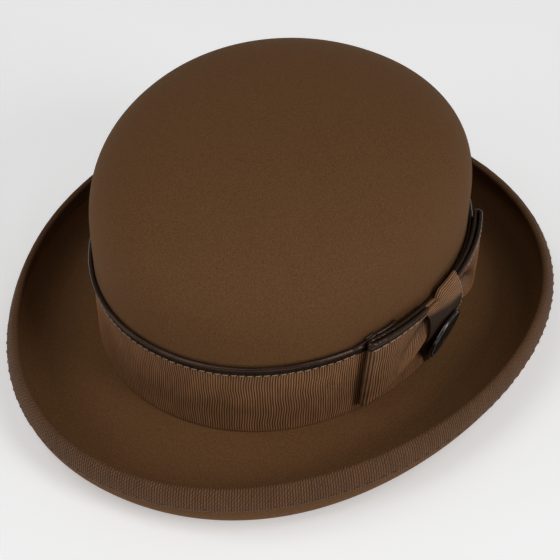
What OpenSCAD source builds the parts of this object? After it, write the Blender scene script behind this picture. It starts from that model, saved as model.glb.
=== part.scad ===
// Bowler hat: a blocked felt body with a rolled brim, a bound edge, a grosgrain band with a
// folded bow and a push-fit badge, and the sweatband and lining inside.
// +Z is up, the front of the hat faces -Y, and the bow is on the wearer's left, +X.
// The origin is on the surface the hat stands on, under the middle of its outline.

/* [Head size] */
// Half length of the oval round the outside of the band at its foot
band_half_l = 104; // [98:1:110]
// Half width of the same oval
band_half_w = 88.5; // [84:1:95]
// Squareness of the oval, where 2 is an ellipse
oval_n = 2.07; // [2:0.02:2.2]

/* [Crown] */
// Height of the crown above the foot of the band
crown_h = 119.6; // [105:0.2:135]
// Height at which the upright wall turns into the dome
wall_h = 62; // [48:0.5:68]
// Fullness of the dome seen from above its shoulder
dome_round = 2.42; // [2:0.02:3]
// Fullness of the dome seen from the side
dome_tall = 2.42; // [2:0.02:3]
// How much rounder the tip is than the head oval
tip_round = 1.06; // [1:0.005:1.1]
// How much wider the crown is at the top of its wall than at the band's foot
wall_swell = 0.9; // [0:0.1:2]
// Thickness of the felt
felt_t = 1.8; // [1.4:0.1:2.4]

/* [Brim] */
// Arc length of the brim from the band to its edge, from the front round to the back
brim_arc = [71.7, 64.7, 58.8, 67.9, 60.2];
// Slope of the flat part of the brim in degrees, from the front round to the back
brim_slope = [-20.5, -22.5, -20.3, -22, -13.3];
// Slope that the roll has reached at the edge, from the front round to the back
brim_roll = [113, 127, 116, 142, 145.5];
// Share of the brim that is flat, at the front, the side and the back
brim_flat = [0.455, 0.43, 0.41];
// How the roll tightens towards the edge, where 1 is a round arc
roll_power = 0.9; // [0.8:0.02:1.4]
// How far the brim's root stands below the foot of the band
root_drop = 1.3; // [0.8:0.1:2.5]
// Rise of the break line from the front and back to the sides
side_rise = 3.4; // [0:0.1:4]

/* [Edge binding] */
// Width of the binding on each face of the brim
binding_w = 9.5; // [6:0.1:12]
// Thickness of the folded ribbon
binding_t = 0.6; // [0.4:0.05:0.9]

/* [Band] */
// Height of the ribbon band
band_h = 40; // [34:0.5:44]
// Thickness of the ribbon
ribbon_t = 0.8; // [0.5:0.05:1]
// Height of the foot of the piping strip on the band
strip_foot = 37; // [32:0.5:40]
// Outer radius of the rolled piping
piping_r = 1.3; // [1:0.05:1.6]
// Spacing of the running stitches
stitch_pitch = 3.75; // [3:0.05:6]

/* [Bow] */
// Distance of the bow's middle in front of the side of the hat
bow_ahead = 8.5; // [-10:0.5:15]
// Where the front loop ends, from the bow's middle
bow_front_y = -47; // [-60:0.5:-40]
// Where the rear loop ends, from the bow's middle
bow_rear_y = 63; // [45:0.5:66]
// Height of the top edge of the loops
loop_top = 43.5; // [38:0.5:46]
// Half width of the knot
knot_half_w = 14.5; // [10:0.5:17]
// Height of the knot
knot_h = 47.5; // [44:0.5:50]
// How far the fullest part of the knot stands off the crown
knot_proud = 9.8; // [9:0.1:11]

/* [Badge] */
// Radius of the round disc
badge_r = 13.3; // [9:0.1:13.5]
// Height of the badge's middle above the foot of the band
badge_h = 20.5; // [18:0.5:21]
// How far the badge leans down, in degrees
badge_tilt = 15; // [12:0.5:16]
// Distance of the badge's middle behind the bow's middle
badge_y = -1; // [-3:0.5:3]
// Thickness of the disc
badge_t = 1.6; // [1.2:0.1:2.4]
// Radius of the post
post_r = 0.7; // [0.5:0.05:0.9]

/* [Inside] */
// Width of the sweatband
sweatband_h = 46; // [38:1:50]
// Thickness of the sweatband leather
leather_t = 1; // [0.7:0.1:1.4]
// Thickness of the lining satin
satin_t = 0.35; // [0.25:0.05:0.5]

/* [Hidden] */

SEG = 60;            // stations round the hat
FLAT_STEPS = 3;      // brim rings over the flat part
ROLL_STEPS = 11;     // brim rings over the roll
GAP = 0.06;          // clearance between layers that lie on each other
STITCH = [0.35, 2.6, 0.5]; // depth, length and width of one visible stitch
LINING_IN = 0.25;    // clearance between felt and lining
SEAM_F = 52;         // dome angle of the seam between the lining's side and tip
TOP_F = 86;          // dome angle of the last ring before a cap

FELT_CLEAR = 0.14;   // more clearance between felt and band

felt_half_l = band_half_l - ribbon_t - GAP - FELT_CLEAR; // outside of the felt crown
felt_half_w = band_half_w - ribbon_t - GAP - FELT_CLEAR;
STATIONS = [for (i = [0:SEG - 1]) 360 * i / SEG];

// ---- ovals and the frame along them ----
function oval_radius(t) = pow(pow(abs(cos(t)), oval_n) + pow(abs(sin(t)), oval_n), -1 / oval_n);
function oval_point(t, half_l, half_w) = oval_radius(t) * [half_w * cos(t), half_l * sin(t)];
function unit(v) = v / norm(v);
function slope_term(v, half) = sign(v) * pow(abs(v) / half, oval_n - 1) / half;
// Outward normal of the band's oval at station angle t.
function outward(t) = let (p = oval_point(t, band_half_l, band_half_w))
    unit([slope_term(p.x, band_half_w), slope_term(p.y, band_half_l)]);
// Angle of that normal from the front of the hat, 0 to 180.
function heading(t) = acos(-outward(t).y);
// Smooth even curve round the hat through equally spaced values from the front to the back.
function harmonic(values, k) = let (m = len(values) - 1)
    2 / m * (k == 0 || k == m ? 0.5 : 1)
    * sum([for (j = [0:m]) (j == 0 || j == m ? 0.5 : 1) * values[j] * cos(180 * j * k / m)]);
function sum(v) = [for (i = 0, s = v[0]; i < len(v); i = i + 1, s = s + (i < len(v) ? v[i] : 0)) s][len(v) - 1];
function harmonics(values) = [for (k = [0:len(values) - 1]) harmonic(values, k)];
function around(terms, angle) = sum([for (k = [0:len(terms) - 1]) terms[k] * cos(k * angle)]);
function lerp(a, b, s) = a + (b - a) * s;

ARC = harmonics(brim_arc);
SLOPE = harmonics(brim_slope);
ROLL = harmonics(brim_roll);
FLAT = harmonics(brim_flat);

// ---- brim ----
// Share of the arc length at each ring: a few over the flat part and more over the roll.
function ring_shares(flat) = concat(
    [for (i = [0:FLAT_STEPS]) flat * i / FLAT_STEPS],
    [for (i = [1:ROLL_STEPS]) flat + (1 - flat) * i / ROLL_STEPS]);
function brim_angle(share, flat, slope, roll) =
    slope + (roll - slope) * pow(max(0, (share - flat) / (1 - flat)), roll_power);
// Height of the break line above its mean at a station.
function break_rise(t) = side_rise * (pow(outward(t).x, 2) - 0.5);
// Upper face of the brim in section: [distance from the band, height, slope] at each ring.
function brim_section(t) = let (
        angle = heading(t),
        arc = around(ARC, angle), flat = around(FLAT, angle),
        slope = around(SLOPE, angle), roll = around(ROLL, angle),
        shares = ring_shares(flat),
        tilt = [for (s = shares) brim_angle(s, flat, slope, roll)],
        count = len(shares))
    [for (i = 0, out = 0, up = 0; i < count;
          i = i + 1,
          out = out + (i < count ? arc * (shares[i] - shares[i - 1]) * cos((tilt[i] + tilt[i - 1]) / 2) : 0),
          up = up + (i < count ? arc * (shares[i] - shares[i - 1]) * sin((tilt[i] + tilt[i - 1]) / 2) : 0))
        [out, up - root_drop + break_rise(t), tilt[i]]];
SECTIONS = [for (t = STATIONS) brim_section(t)];
RINGS = len(SECTIONS[0]);
EDGE = RINGS - 1;
// Brim point at a station, through the felt by depth, where 0 is the upper face.
function brim_flat_point(i, row, depth) = [
    row[0] + depth * sin(row[2]),
    row[1] - depth * cos(row[2])];
function place(i, out, up) = let (t = STATIONS[i], p = oval_point(t, band_half_l, band_half_w) + outward(t) * out)
    [p.x, p.y + centre_y, up + break_z];
function brim_point(i, ring, depth) = let (q = brim_flat_point(i, SECTIONS[i][ring], depth)) place(i, q[0], q[1]);
UNDERSIDE = [for (i = [0:SEG - 1], ring = [0:EDGE]) brim_flat_point(i, SECTIONS[i][ring], felt_t + GAP + binding_t)];
// The lowest point of the brim rests at zero.
break_z = -min([for (i = [0:SEG - 1], ring = [0:EDGE - 3])
    brim_flat_point(i, SECTIONS[i][ring], felt_t)[1]]);
// The outline's middle, front to back, is at zero.
function reach_y(i) = let (t = STATIONS[i]) [for (ring = [0:EDGE])
    oval_point(t, band_half_l, band_half_w).y
    + outward(t).y * brim_flat_point(i, SECTIONS[i][ring], felt_t)[0]];
FRONT_STATION = 3 * SEG / 4;
BACK_STATION = SEG / 4;
centre_y = -(min(reach_y(FRONT_STATION)) + max(reach_y(BACK_STATION))) / 2;

// ---- crown ----
// Ring on the upright wall, a height above the break line and inside the felt's face by inset.
function wall_ring(height, inset) = [for (i = [0:SEG - 1]) on_crown(i, -inset, height)];
function dome_ring(angle, inset) = let (
        size = pow(cos(angle), 2 / dome_round),
        up = wall_h + (crown_h - wall_h - inset) * pow(sin(angle), 2 / dome_tall),
        round = 1 + (tip_round - 1) * sin(angle),
        half_l = (felt_half_l + wall_swell - inset) * size / round,
        half_w = (felt_half_w + wall_swell - inset) * size * round)
    [for (t = STATIONS) let (p = oval_point(t, half_l, half_w)) [p.x, p.y + centre_y, up + break_z]];
function dome_rings(from, to, steps, inset) = [for (k = [0:steps]) dome_ring(lerp(from, to, k / steps), inset)];
function reversed(v) = [for (k = [len(v) - 1:-1:0]) v[k]];

// ---- solids from rings and sections ----
// Stack of equal rings, each closed round the hat, with flat caps at both ends.
module stack(rings) {
    n = len(rings[0]);
    m = len(rings);
    polyhedron([for (r = rings, p = r) p], concat(
        [[for (i = [0:n - 1]) i]],
        [for (k = [0:m - 2], i = [0:n - 1]) let (j = (i + 1) % n) [k * n + i, (k + 1) * n + i, (k + 1) * n + j]],
        [for (k = [0:m - 2], i = [0:n - 1]) let (j = (i + 1) % n) [k * n + i, (k + 1) * n + j, k * n + j]],
        [[for (i = [n - 1:-1:0]) (m - 1) * n + i]]));
}
// Ring of sections that closes on itself.
module hoop(sections) {
    n = len(sections[0]);
    m = len(sections);
    polyhedron([for (s = sections, p = s) p], [for (k = [0:m - 1], i = [0:n - 1], half = [0, 1])
        let (j = (i + 1) % n, l = (k + 1) % m)
        half == 0 ? [k * n + i, l * n + i, l * n + j] : [k * n + i, l * n + j, k * n + j]]);
}
// Hoop whose section is a list of [offset from the felt, height above the break line].
module trim_hoop(section) {
    hoop([for (i = [0:SEG - 1]) [for (q = section) on_crown(i, q[0], q[1])]]);
}
felt_step = band_half_l - felt_half_l;
function swell(up) = wall_swell * max(0, up) / wall_h;
function on_crown(i, off, up) = place(i, off - felt_step + swell(up), up + break_rise(STATIONS[i]));
// Point by the brim's edge, a distance in from it and through the felt by depth.
function ring_gap(i) = norm([for (k = [0, 1]) SECTIONS[i][EDGE][k] - SECTIONS[i][EDGE - 1][k]]);
function edge_point(i, inward, depth) = let (
        rows = SECTIONS[i],
        last = rows[EDGE],
        at = inward / ring_gap(i),
        whole = min(EDGE - 1, floor(max(0, at))),
        row = at <= 0
            ? [last[0] - inward * cos(last[2]), last[1] - inward * sin(last[2]), last[2]]
            : lerp(rows[EDGE - whole], rows[EDGE - whole - 1], at - whole),
        q = brim_flat_point(i, row, depth))
    place(i, q[0], q[1]);

// ---- felt ----
module felt_body() color("#5b3b1f")
    stack(concat(
        reversed(dome_rings(0, TOP_F, 11, 0)),
        [wall_ring(26, 0), wall_ring(-0.05, 0)],
        [for (ring = [0:EDGE]) [for (i = [0:SEG - 1]) brim_point(i, ring, 0)]],
        [for (ring = [EDGE:-1:0]) [for (i = [0:SEG - 1]) brim_point(i, ring, felt_t)]],
        [wall_ring(-0.6, felt_t), wall_ring(26, felt_t)],
        dome_rings(0, TOP_F, 11, felt_t)));

// ---- edge binding ----
// The ribbon's section has its corners over the felt's own rings, so that they stay parallel.
module brim_binding() color("#64452f") {
    near = GAP;
    far = GAP + binding_t;
    hoop([for (i = [0:SEG - 1]) let (r = ring_gap(i), w = binding_w, t = felt_t) [for (q = [
        [w, -near], [2 * r, -near], [r, -near], [-near, -near],
        [-near, t + near], [r, t + near], [2 * r, t + near], [w, t + near],
        [w, t + far], [2 * r, t + far], [r, t + far], [0, t + far],
        [-far, t / 2],
        [0, -far], [r, -far], [2 * r, -far], [w, -far]]) edge_point(i, q[0], q[1])]]);
}
module binding_stitches() color("#4a3120")
    for (i = [0:SEG - 1], part = [0.25, 0.75]) {
        j = (i + 1) % SEG;
        low = felt_t + outer_face;
        a = lerp(edge_point(i, binding_w - 1, low), edge_point(j, binding_w - 1, low), part - 0.12);
        b = lerp(edge_point(i, binding_w - 1, low), edge_point(j, binding_w - 1, low), part + 0.12);
        thread(a, b, outward(lerp(STATIONS[i], i == SEG - 1 ? 360 : STATIONS[j], part)));
    }
outer_face = 2 * GAP + binding_t + STITCH[0] / 2;
// Short straight stitch from a to b, lying flat against a face with the given outward direction.
module thread(a, b, out) {
    run = b - a;
    translate((a + b) / 2)
        rotate([0, 0, atan2(run.y, run.x)])
            rotate([0, -asin(run.z / norm(run)), 0])
                cube([norm(run), STITCH[0], STITCH[2]], center = true);
}

// ---- band ----
module hat_band() color("#5d4230")
    trim_hoop([[GAP, 0], [GAP + ribbon_t, 0], [GAP + ribbon_t, band_h], [GAP, band_h]]);

roll_centre = [GAP + piping_r, band_h + piping_r + GAP];
strip_in = 2 * GAP + ribbon_t;
strip_out = strip_in + 0.55;
cord_r = piping_r - 0.5;
function arc_point(centre, radius, angle) = centre + radius * [cos(angle), sin(angle)];
module band_piping() color("#3a281d")
    trim_hoop(concat(
        [[strip_in, strip_foot], [strip_out, strip_foot], [strip_out + 0.2, band_h - 0.3]],
        [for (a = [0, 55, 110, 165]) arc_point(roll_centre, piping_r, a)],
        [arc_point(roll_centre, piping_r, 225), arc_point(roll_centre, cord_r + GAP, 225)],
        [for (a = [165, 110, 55, 0, -55]) arc_point(roll_centre, cord_r + GAP, a)],
        [[strip_in, band_h + GAP]]));
module piping_cord() color("#c9bfa8")
    trim_hoop([for (a = [0:60:300]) arc_point(roll_centre, cord_r - GAP, a)]);

// Stitches along the foot of the piping strip, except where the bow covers it.
band_perimeter = PI * (3 * (band_half_l + band_half_w)
    - sqrt((3 * band_half_l + band_half_w) * (band_half_l + 3 * band_half_w)));
stitch_count = floor(band_perimeter / stitch_pitch);
module band_stitches() color("#b39b78")
    for (k = [0:stitch_count - 1]) {
        t = 360 * k / stitch_count;
        p = oval_point(t, band_half_l, band_half_w);
        if (p.x < 0 || p.y + bow_ahead < bow_front_y - 4 || p.y + bow_ahead > bow_rear_y + 4)
            crown_stitch(t, strip_out + GAP, strip_foot + 0.6);
    }
// One stitch lying along the crown at station angle t.
module crown_stitch(t, off, up) {
    p = oval_point(t, band_half_l, band_half_w) + outward(t) * (off - felt_step + swell(up) + 0.12);
    translate([p.x, p.y + centre_y, up + break_rise(t) + break_z])
        rotate([0, 0, atan2(outward(t).y, outward(t).x)])
            translate([0, -STITCH[1] / 2, -STITCH[2] / 2]) cube(STITCH);
}

// ---- bow: places on it are [y, height, offset from the felt], with y from the bow's middle ----
function bow_angle(y) = let (along = y - bow_ahead,
        x = band_half_w * pow(1 - pow(abs(along) / band_half_l, oval_n), 1 / oval_n))
    atan2(along / band_half_l, x / band_half_w);
function bow_point(y, up, off) = let (t = bow_angle(y),
        p = oval_point(t, band_half_l, band_half_w) + outward(t) * (off - felt_step + swell(up)))
    [p.x, p.y + centre_y, up + break_rise(t) + break_z];
// Solid through a row of equal sections, with a cap at each end.
module solid(sections) {
    n = len(sections[0]);
    m = len(sections);
    polyhedron([for (r = sections, p = r) p], concat(
        [for (k = [0:m - 2], i = [0:n - 1]) let (j = (i + 1) % n) [k * n + i, (k + 1) * n + i, (k + 1) * n + j]],
        [for (k = [0:m - 2], i = [0:n - 1]) let (j = (i + 1) % n) [k * n + i, (k + 1) * n + j, k * n + j]],
        cap(n, 0, false), cap(n, (m - 1) * n, true)));
}
// A cap as a strip of four-sided faces, so that it also fits a section folded back on itself.
function cap(n, first, flip) = n % 2 == 1
    ? [[for (i = [0:n - 1]) first + (flip ? n - 1 - i : i)]]
    : [for (i = [0:n / 2 - 2]) let (face = [i, i + 1, n - 2 - i, n - 1 - i])
        [for (k = [0:3]) first + face[flip ? 3 - k : k]]];
// Solid with a section of [height, offset] points at each y.
module bow_solid(ys, sections) {
    solid([for (k = [0:len(ys) - 1]) [for (q = sections[k]) bow_point(ys[k], q[0], q[1])]]);
}
bow_in = 2 * GAP + ribbon_t + 0.04;  // back of the tail, on the band
tail_out = bow_in + 0.5;
loop_in = 2 * (GAP + piping_r) + 0.1; // back of the loops, on the band's piping
loop_pinch = loop_in + 1.4;          // front of the loops inside the knot
LOOP_STEPS = 10;

module bow_tail() color("#523a2a") {
    ys = [for (k = [0:14]) lerp(bow_front_y + 1, bow_rear_y - 1, k / 14)];
    bow_solid(ys, [for (y = ys) [[0.3, bow_in], [0.3, tail_out], [strip_foot - 0.4, tail_out], [strip_foot - 0.4, bow_in]]]);
}
// Share s runs from the loop's free end, 0, to the knot, 1.
function loop_proud(s) = lerp(loop_in + 3.6, loop_pinch, pow(s, 1.6)) - 2.2 * pow(max(0, 1 - s * 9), 2);
// The loops' lower edge climbs towards the knot and is level inside it.
LOOP_RISE = [6, 22, 8.5];
LOOP_LEVEL = 33;
function loop_foot(s) = min(LOOP_LEVEL, LOOP_RISE[0] + LOOP_RISE[1] * s + LOOP_RISE[2] * s * s);
module loop(from, to, hue) color(hue) {
    ys = [for (k = [0:LOOP_STEPS]) lerp(from, to, k / LOOP_STEPS)];
    sections = [for (k = [0:LOOP_STEPS]) let (s = k / LOOP_STEPS, foot = loop_foot(s), out = loop_proud(s))
        [[foot, loop_in], [foot + 1.2, out], [loop_top - 0.8, out], [loop_top, loop_in + 0.5], [loop_top, loop_in]]];
    if (from < to) bow_solid(ys, sections);
    else bow_solid(ys, [for (s = sections) reversed(s)]);
}
module bow_front_loop() loop(bow_front_y, -0.6, "#62462f");
module bow_rear_loop() loop(bow_rear_y, 0.6, "#62462f");

// Piping on the top edge of a loop: out along the front layer, round the fold and back.
pipe_r = 1.1;
fold_r = 1.35;
PIPE_STEPS = 4;
module loop_piping(end_y, inner_y) color("#3a281d") {
    way = sign(end_y);
    fold_y = end_y - way * fold_r;
    back = loop_in + pipe_r + 0.05;
    front = back + 2 * fold_r;
    path = concat(
        [for (k = [PIPE_STEPS:-1:1]) [lerp(fold_y, inner_y, k / PIPE_STEPS), front]],
        [for (a = [90:-36:-90]) [fold_y + way * fold_r * cos(a), back + fold_r + fold_r * sin(a)]],
        [for (k = [1:PIPE_STEPS]) [lerp(fold_y, inner_y, k / PIPE_STEPS), back]]);
    tube([for (q = path) bow_point(q[0], loop_top + pipe_r + 0.1, q[1])], pipe_r);
}
// Six-sided tube along a level path.
module tube(points, r) {
    m = len(points);
    solid([for (k = [0:m - 1]) let (
            ahead = unit(points[min(m - 1, k + 1)] - points[max(0, k - 1)]),
            side = unit(cross([0, 0, 1], ahead)))
        [for (a = [300:-60:0]) points[k] + r * (side * cos(a) + [0, 0, 1] * sin(a))]]);
}
module bow_front_piping() loop_piping(bow_front_y, -knot_half_w - 1);
module bow_rear_piping() loop_piping(bow_rear_y, knot_half_w + 1);

// Knot: one turn of ribbon over the loops, open behind, drilled for the badge's post.
wrap_t = 0.9;
// Its face from the foot up, as [height, offset].
KNOT_LEAN = 2.5;  // face at the badge's middle, back from the fullest part
KNOT_FACE = [[0.6, 3], [3, 3.1], [badge_h, knot_proud - KNOT_LEAN], [30, knot_proud],
    [37, knot_proud - 0.2], [knot_h - 3, knot_proud - 3], [knot_h, 3.4]];
KNOT_EDGE = 0.4;  // how far the knot's side edges fall back
KNOT_STEPS = 6;
function knot_section(edge) = let (
        face = [for (q = KNOT_FACE) [q[0], q[1] - KNOT_EDGE * edge]],
        last = len(face) - 1,
        back = [for (k = [0:last]) let (run = unit(face[min(last, k + 1)] - face[max(0, k - 1)]))
            face[k] + wrap_t * [run[1], -run[0]]])
    concat(face, reversed(back));
module bow_knot() color("#62462f") difference() {
    bow_solid([for (k = [0:KNOT_STEPS]) lerp(-knot_half_w, knot_half_w, k / KNOT_STEPS)],
        [for (k = [0:KNOT_STEPS]) knot_section(pow(2 * k / KNOT_STEPS - 1, 2))]);
    badge_frame() translate([0, 0, -6]) cylinder(h = 6, r = post_r + 0.1, $fn = 32);
}
module bow_stitches() color("#b39b78") {
    for (y = [bow_front_y + 3:stitch_pitch:-knot_half_w - 3]) loop_stitch(y, abs(bow_front_y));
    for (y = [knot_half_w + 4:stitch_pitch:bow_rear_y - 2]) loop_stitch(y, bow_rear_y);
}
module loop_stitch(y, reach) {
    t = bow_angle(y);
    s = 1 - abs(y) / reach;
    p = bow_point(y, loop_top - 2.2, loop_proud(s) + GAP + 0.3);
    translate(p) rotate([0, 0, atan2(outward(t).y, outward(t).x)])
        translate([0, -STITCH[1] / 2, -STITCH[2] / 2]) cube(STITCH);
}

// ---- badge ----
badge_back = knot_proud - KNOT_LEAN + 0.6; // middle of the disc's back, off the felt
clutch_gap = 1.8;                    // from the disc's back to the clutch
clutch_t = 2.6;
// Z runs out of the hat from the middle of the disc's back, leaning down by the tilt.
module badge_frame() {
    spot = bow_point(badge_y, badge_h, badge_back);
    translate(spot) rotate([0, 90 + badge_tilt, 0]) children();
}
module badge_disc() color("#14110f") badge_frame()
    cylinder(h = badge_t, r = badge_r - 1.3, $fn = 96);
module badge_rim() color("#1e1a17") badge_frame() difference() {
    cylinder(h = badge_t + 0.4, r = badge_r, $fn = 96);
    translate([0, 0, -1]) cylinder(h = badge_t + 3, r = badge_r - 1.28, $fn = 96);
}
module badge_post() color("#8d8678") badge_frame() {
    length = clutch_gap + clutch_t;
    translate([0, 0, -length]) cylinder(h = length - 0.02, r = post_r, $fn = 32);
}
module badge_clutch() color("#8d8678") badge_frame()
    translate([0, 0, -clutch_gap - clutch_t]) difference() {
        cylinder(h = clutch_t, r = 3, $fn = 48);
        translate([0, 0, -1]) cylinder(h = clutch_t + 2, r = post_r + 0.05, $fn = 32);
    }

// ---- inside ----
sweat_in = felt_t + LINING_IN + satin_t + 0.2;  // face of the leather next to the lining
sweat_out = sweat_in + leather_t;
sweat_foot = -1.2;
reed_r = 0.9;
module sweatband() color("#4c3222")
    trim_hoop([[-sweat_in, sweat_foot], [-sweat_in, sweatband_h], [-sweat_out, sweatband_h], [-sweat_out, sweat_foot]]);
module sweatband_reed() color("#2b2420")
    trim_hoop([for (a = [0:60:300]) arc_point([-sweat_in - leather_t / 2, sweat_foot - reed_r - GAP], reed_r, a)]);
module sweatband_stitches() color("#7a5a3c")
    for (k = [0:119]) let (t = 360 * (k + 0.5) / 120)
        crown_stitch(t, -sweat_out - STITCH[0] - 0.3, 2.2);
// Small ribbon bow over the sweatband's seam, at the back of the head.
module sweatband_bow() color("#3d2a1e") at_back(sweat_out + 0.9, 36) {
    for (side = [-1, 1]) hull() {
        translate([side * 1.2, 0, -1]) cube([0.6, 1.4, 2], center = false);
        translate([side * 9, 0.2, -3.4]) cube([0.8, 0.8, 6.8]);
    }
    translate([-1.1, 0, -1.6]) cube([3, 2, 3.2]);
}
module size_tab() color("#d8cdb8") at_back(sweat_out + 0.4, 14)
    translate([-6, 0, -7]) cube([12, 0.25, 14]);
// X runs along the back of the hat and Y towards the head, from a face inset from the felt.
module at_back(inset, up)
    translate([0, felt_half_l + swell(up) - inset - 0.25 + centre_y, up + break_z]) mirror([0, 1, 0]) children();

lining_in = felt_t + LINING_IN;
lining_out = lining_in + satin_t;
module lining_side() color("#8a6a44")
    hoop_of_rings(concat([wall_ring(12, lining_in)], dome_rings(0, SEAM_F, 4, lining_in),
        dome_rings(SEAM_F, 0, 4, lining_out), [wall_ring(12, lining_out)]));
// Closed band of rings: the last ring joins the first.
module hoop_of_rings(rings) hoop([for (i = [SEG - 1:-1:0]) [for (r = rings) r[i]]]);
module lining_tip() color("#8a6a44")
    stack(concat(reversed(dome_rings(SEAM_F + 1.5, TOP_F, 4, lining_in)), dome_rings(SEAM_F + 1.5, TOP_F, 4, lining_out)));
cord_inset = lining_out + 0.75;
module lining_cord() color("#70532f") {
    a = dome_ring(SEAM_F + 0.7, cord_inset);
    hoop([for (i = [SEG - 1:-1:0]) let (p = a[i], r = unit([p.x, p.y - centre_y]))
        [for (q = [0:60:300]) p + 0.55 * [r.x * cos(q), r.y * cos(q), sin(q)]]]);
}
shield_in = lining_out + 0.3;
module tip_shield() color("#dfe6ea", 0.35)
    stack(concat(reversed(dome_rings(SEAM_F + 6, TOP_F, 4, shield_in)), dome_rings(SEAM_F + 6, TOP_F, 4, shield_in + 0.3)));

felt_body();
brim_binding();
binding_stitches();
hat_band();
band_piping();
piping_cord();
band_stitches();
bow_tail();
bow_front_loop();
bow_front_piping();
bow_rear_loop();
bow_rear_piping();
bow_knot();
bow_stitches();
badge_disc();
badge_rim();
badge_post();
badge_clutch();
sweatband();
sweatband_reed();
sweatband_stitches();
sweatband_bow();
size_tab();
lining_side();
lining_tip();
lining_cord();
tip_shield();
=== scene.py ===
import math

import bpy
import numpy as np
from mathutils import Matrix, Vector


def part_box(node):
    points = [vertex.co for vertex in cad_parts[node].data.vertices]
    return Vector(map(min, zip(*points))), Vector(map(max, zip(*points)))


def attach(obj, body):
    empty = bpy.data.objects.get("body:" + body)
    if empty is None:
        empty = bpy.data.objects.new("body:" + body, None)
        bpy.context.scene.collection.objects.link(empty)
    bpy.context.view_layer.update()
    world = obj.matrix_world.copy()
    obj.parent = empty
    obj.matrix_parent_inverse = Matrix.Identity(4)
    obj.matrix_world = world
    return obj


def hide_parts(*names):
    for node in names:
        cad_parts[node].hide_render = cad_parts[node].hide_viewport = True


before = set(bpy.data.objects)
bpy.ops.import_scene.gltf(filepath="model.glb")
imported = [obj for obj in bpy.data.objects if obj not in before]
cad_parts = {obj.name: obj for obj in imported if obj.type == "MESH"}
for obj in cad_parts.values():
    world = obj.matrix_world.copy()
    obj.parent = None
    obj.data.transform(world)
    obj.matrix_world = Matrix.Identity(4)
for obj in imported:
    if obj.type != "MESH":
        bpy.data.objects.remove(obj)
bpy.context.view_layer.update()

# ---------------------------------------------------------------- sizes, in mm, as in the CAD
BAND_L, BAND_W, OVAL_N = 104.0, 88.5, 2.07
CROWN_H, WALL_H, WALL_SWELL = 119.6, 62.0, 0.9
DOME_ROUND, DOME_TALL, TIP_ROUND = 2.42, 2.42, 1.06
FELT_T, GAP = 1.8, 0.06
BRIM_ARC = [71.7, 64.7, 58.8, 67.9, 60.2]
BRIM_SLOPE = [-20.5, -22.5, -20.3, -22, -13.3]
BRIM_ROLL = [113, 127, 116, 142, 145.5]
BRIM_FLAT = [0.455, 0.43, 0.41]
ROLL_POWER, ROOT_DROP, SIDE_RISE = 0.9, 1.3, 3.4
BINDING_W, BINDING_T = 9.5, 0.6
BAND_H, RIBBON_T, STRIP_FOOT = 40.0, 0.8, 37.0
PIPING_R, CORD_R = 1.3, 0.8
STITCH_PITCH, BINDING_PITCH, KNOT_PITCH, SWEAT_PITCH = 3.75, 6.2, 3.1, 4.2
BOW_AHEAD, BOW_FRONT, BOW_REAR, LOOP_TOP = 8.5, -47.0, 63.0, 43.5
KNOT_HALF, KNOT_H, KNOT_PROUD, KNOT_LEAN = 14.5, 47.5, 9.8, 2.5
BADGE_R, BADGE_H, BADGE_TILT, BADGE_Y, BADGE_T = 13.3, 20.5, math.radians(15), -1.0, 1.6
SWEAT_H, LEATHER_T, SWEAT_FOOT, REED_R = 46.0, 1.0, -1.2, 0.9
LINING_IN, SATIN_T = 2.05, 0.35
SEAM_ANGLE = math.radians(52)
RIB, BINDING_RIB, KNOT_RIB = 1.2, 1.22, 1.1
LOOP_START, LOOP_NOSE = 4.0, 2.1
MM = 0.001
TAU = 2 * math.pi

FELT_L, FELT_W = BAND_L - 1.0, BAND_W - 1.0
FELT_STEP = 1.0
band_low, band_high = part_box("hat_band")
BREAK_Z = band_low.z / MM + SIDE_RISE / 2
CENTRE_Y = (band_low.y + band_high.y) / 2 / MM
BOW_IN = 2 * GAP + RIBBON_T + 0.04
LOOP_IN = 2 * (GAP + PIPING_R) + 0.1
rng = np.random.default_rng(20)


# ---------------------------------------------------------------- the hat's own surfaces
def oval(t, half_l, half_w):
    c, s = np.cos(t), np.sin(t)
    r = (np.abs(c) ** OVAL_N + np.abs(s) ** OVAL_N) ** (-1 / OVAL_N)
    return r * half_w * c, r * half_l * s


def outward(t):
    x, y = oval(t, BAND_L, BAND_W)
    nx = np.sign(x) * (np.abs(x) / BAND_W) ** (OVAL_N - 1) / BAND_W
    ny = np.sign(y) * (np.abs(y) / BAND_L) ** (OVAL_N - 1) / BAND_L
    size = np.hypot(nx, ny)
    return nx / size, ny / size


def rise(t):
    return SIDE_RISE * (outward(t)[0] ** 2 - 0.5)


def place(t, out, up):
    """Point a distance outside the band's oval and above the mean break line."""
    t, out, up = np.broadcast_arrays(t, out, up)
    x, y = oval(t, BAND_L, BAND_W)
    nx, ny = outward(t)
    return np.stack([x + nx * out, y + ny * out + CENTRE_Y, up + BREAK_Z], -1)


def crown(t, off, up):
    """Point off the felt's wall, above the break line."""
    return place(t, off - FELT_STEP + WALL_SWELL * np.maximum(0, up) / WALL_H, up + rise(t))


def dome(t, angle, inset):
    size = np.cos(angle) ** (2 / DOME_ROUND)
    up = WALL_H + (CROWN_H - WALL_H - inset) * np.sin(angle) ** (2 / DOME_TALL)
    rounder = 1 + (TIP_ROUND - 1) * np.sin(angle)
    x, y = oval(t, (FELT_L + WALL_SWELL - inset) * size / rounder,
                (FELT_W + WALL_SWELL - inset) * size * rounder)
    return np.stack(np.broadcast_arrays(x, y + CENTRE_Y, up + BREAK_Z), -1)


def wall(t, up, inset):
    """Upright wall, where the break line's rise dies away towards the dome."""
    fade = np.clip((WALL_H - up) / (WALL_H - 26), 0, 1)
    return place(t, -inset - FELT_STEP + WALL_SWELL * np.maximum(0, up) / WALL_H, up + rise(t) * fade)


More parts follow.
